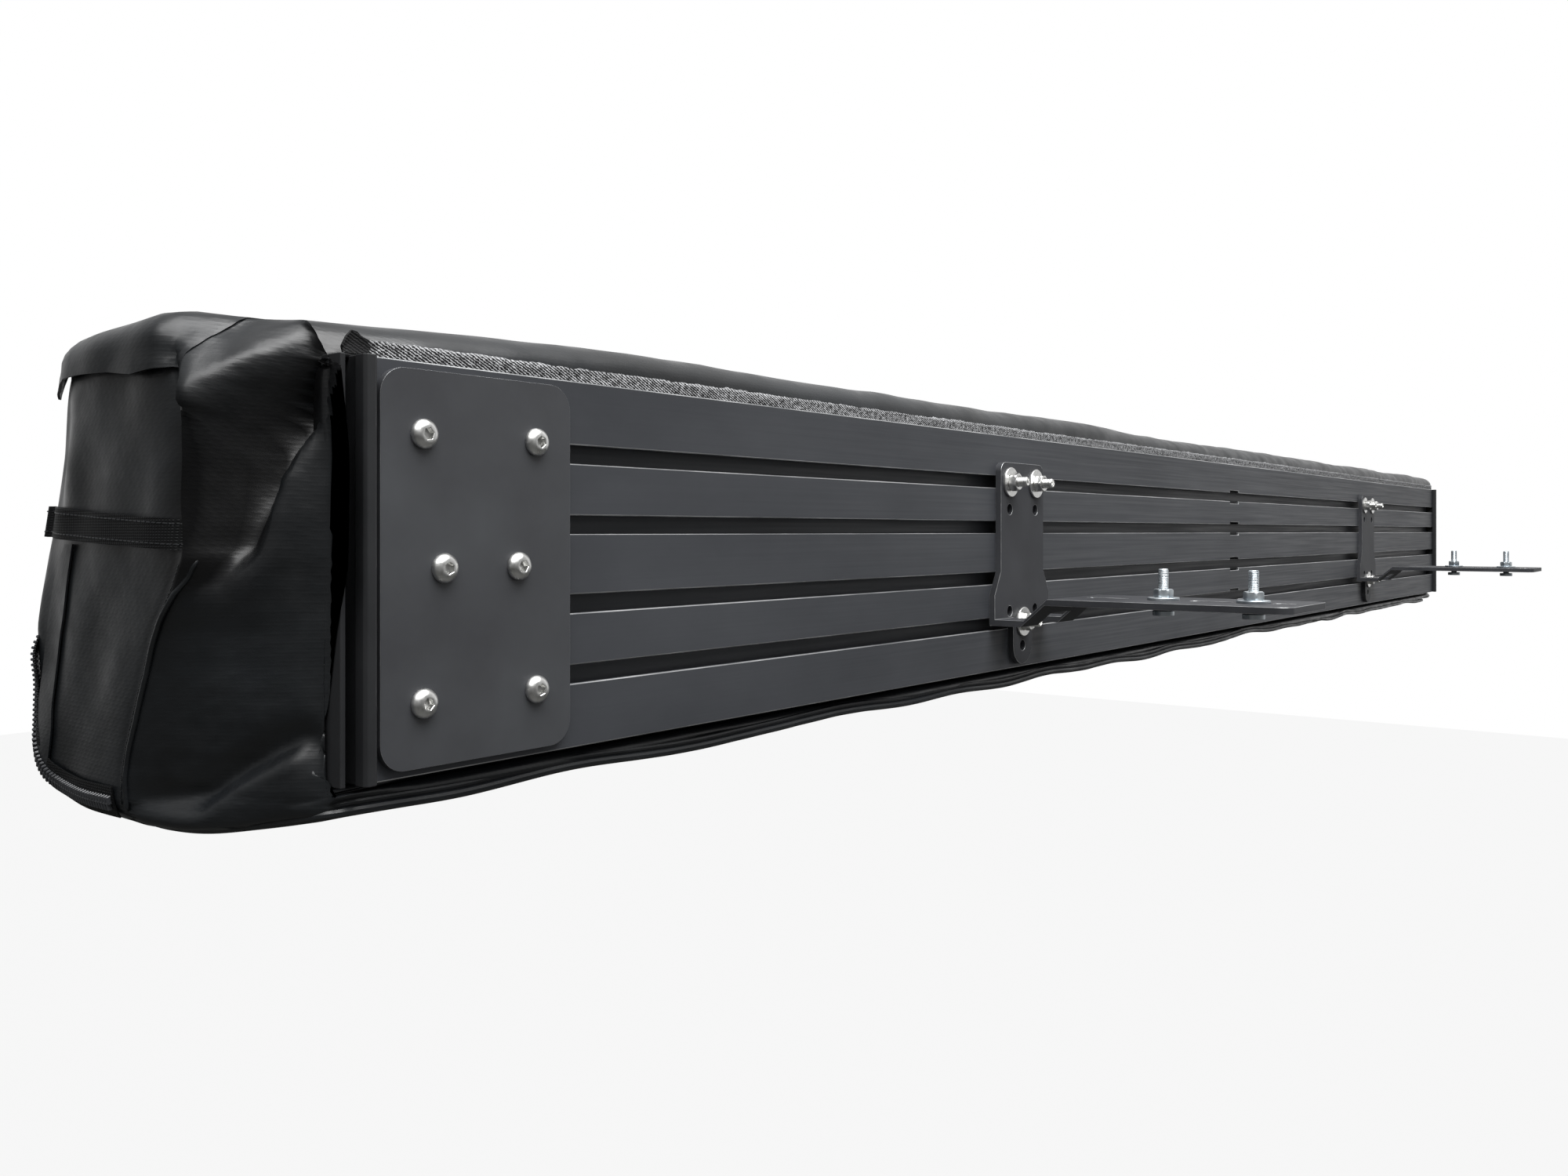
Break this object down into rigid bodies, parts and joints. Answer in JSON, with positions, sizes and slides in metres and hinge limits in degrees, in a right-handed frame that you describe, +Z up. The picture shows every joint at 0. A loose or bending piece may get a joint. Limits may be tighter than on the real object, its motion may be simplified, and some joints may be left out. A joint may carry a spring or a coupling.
{
  "type": "vehicle side awning",
  "caption": "Long wing-type vehicle side awning packed in a soft bag on a grooved back plate, with folding arms, telescopic legs and slotted crossbar brackets.",
  "frame": {"origin": "on the underside of the near bracket's seat, 30 mm beside its centre line, where it rests on a crossbar", "axes": "+X along the awning away from its hinge end, +Y away from the vehicle, +Z up"},
  "size_m": [2.3719, 0.436, 0.24],
  "materials": {
    "black_aluminium": "satin black powder coat",
    "black_steel": "satin black powder coat",
    "stainless": "bright stainless",
    "zinc": "bright zinc plate",
    "silver_aluminium": "satin anodised",
    "vinyl": "semi-gloss PVC coated cloth",
    "webbing": "woven polyester",
    "canopy": "ripstop polyester",
    "plastic": "moulded nylon"
  },
  "bodies": {
    "root": {"back_plate": "black_aluminium", "end_channel_near": "black_aluminium", "end_channel_far": "black_aluminium", "hinge_plate": "black_steel", "hinge_bolt_1": "stainless", "hinge_bolt_2": "stainless", "hinge_bolt_3": "stainless", "hinge_bolt_4": "stainless", "hinge_bolt_5": "stainless", "hinge_bolt_6": "stainless", "hinge_bracket": "black_steel", "hinge_pin": "stainless", "bag_cover": "vinyl", "edge_tape": "webbing", "zip_tape": "webbing", "end_strap": "webbing", "bracket_near": "black_steel", "bracket_bolt_near_1": "stainless", "bracket_washer_near_1": "stainless", "bracket_bolt_near_2": "stainless", "bracket_washer_near_2": "stainless", "bracket_bolt_near_3": "stainless", "bracket_washer_near_3": "stainless", "seat_stud_near_1": "zinc", "stud_washer_near_1": "zinc", "seat_stud_near_2": "zinc", "stud_washer_near_2": "zinc", "bracket_far": "black_steel", "bracket_bolt_far_1": "stainless", "bracket_washer_far_1": "stainless", "bracket_bolt_far_2": "stainless", "bracket_washer_far_2": "stainless", "bracket_bolt_far_3": "stainless", "bracket_washer_far_3": "stainless", "seat_stud_far_1": "zinc", "stud_washer_far_1": "zinc", "seat_stud_far_2": "zinc", "stud_washer_far_2": "zinc"},
    "arm_1": {"arm_1": "silver_aluminium"},
    "leg_1": {"leg_1": "silver_aluminium"},
    "inner_leg_1": {"inner_leg_1": "silver_aluminium", "leg_foot_1": "plastic"},
    "arm_2": {"arm_2": "silver_aluminium", "canopy_pack_1": "canopy"},
    "leg_2": {"leg_2": "silver_aluminium"},
    "inner_leg_2": {"inner_leg_2": "silver_aluminium", "leg_foot_2": "plastic"},
    "arm_3": {"arm_3": "silver_aluminium", "canopy_pack_2": "canopy"},
    "leg_3": {"leg_3": "silver_aluminium"},
    "inner_leg_3": {"inner_leg_3": "silver_aluminium", "leg_foot_3": "plastic"},
    "arm_4": {"arm_4": "silver_aluminium", "canopy_pack_3": "canopy"},
    "leg_4": {"leg_4": "silver_aluminium"},
    "inner_leg_4": {"inner_leg_4": "silver_aluminium", "leg_foot_4": "plastic"},
    "zip_slider": {"zip_slider": "black_steel"}
  },
  "joints": [
    {"name": "arm_1_swing", "type": "hinge", "parent": "root", "child": "arm_1", "pos_m": [-0.685, 0.312, 0.0959], "axis": [0, 0, 1], "range_deg": [0, 270], "deforming": ["bag_cover", "zip_tape", "end_strap"]},
    {"name": "arm_2_swing", "type": "hinge", "parent": "root", "child": "arm_2", "pos_m": [-0.685, 0.312, 0.0959], "axis": [0, 0, 1], "range_deg": [0, 202.5]},
    {"name": "arm_3_swing", "type": "hinge", "parent": "root", "child": "arm_3", "pos_m": [-0.685, 0.312, 0.0959], "axis": [0, 0, 1], "range_deg": [0, 135]},
    {"name": "arm_4_swing", "type": "hinge", "parent": "root", "child": "arm_4", "pos_m": [-0.685, 0.312, 0.0959], "axis": [0, 0, 1], "range_deg": [0, 67.5]},
    {"name": "leg_1_drop", "type": "hinge", "parent": "arm_1", "child": "leg_1", "pos_m": [1.57, 0.312, 0.0509], "axis": [0, -1, 0], "range_deg": [0, 90]},
    {"name": "leg_2_drop", "type": "hinge", "parent": "arm_2", "child": "leg_2", "pos_m": [1.57, 0.276, 0.0509], "axis": [0, -1, 0], "range_deg": [0, 90]},
    {"name": "leg_3_drop", "type": "hinge", "parent": "arm_3", "child": "leg_3", "pos_m": [1.57, 0.24, 0.0509], "axis": [0, -1, 0], "range_deg": [0, 90]},
    {"name": "leg_4_drop", "type": "hinge", "parent": "arm_4", "child": "leg_4", "pos_m": [1.57, 0.204, 0.0509], "axis": [0, -1, 0], "range_deg": [0, 90]},
    {"name": "inner_leg_1_slide", "type": "slide", "parent": "leg_1", "child": "inner_leg_1", "axis": [-1, 0, 0], "range_m": [0, 0.84]},
    {"name": "inner_leg_2_slide", "type": "slide", "parent": "leg_2", "child": "inner_leg_2", "axis": [-1, 0, 0], "range_m": [0, 0.84]},
    {"name": "inner_leg_3_slide", "type": "slide", "parent": "leg_3", "child": "inner_leg_3", "axis": [-1, 0, 0], "range_m": [0, 0.84]},
    {"name": "inner_leg_4_slide", "type": "slide", "parent": "leg_4", "child": "inner_leg_4", "axis": [-1, 0, 0], "range_m": [0, 0.84]},
    {"name": "zip_slide", "type": "slide", "parent": "root", "child": "zip_slider", "axis": [-1, 0, 0], "range_m": [0, 2.05]}
  ],
  "couplings": [
    {"joint": "arm_2_swing", "follows": "arm_1_swing", "ratio": 0.75},
    {"joint": "arm_3_swing", "follows": "arm_1_swing", "ratio": 0.5},
    {"joint": "arm_4_swing", "follows": "arm_1_swing", "ratio": 0.25},
    {"joint": "leg_1_drop", "follows": "arm_1_swing", "ratio": 0.33333},
    {"joint": "leg_2_drop", "follows": "arm_1_swing", "ratio": 0.33333},
    {"joint": "leg_3_drop", "follows": "arm_1_swing", "ratio": 0.33333},
    {"joint": "leg_4_drop", "follows": "arm_1_swing", "ratio": 0.33333}
  ]
}
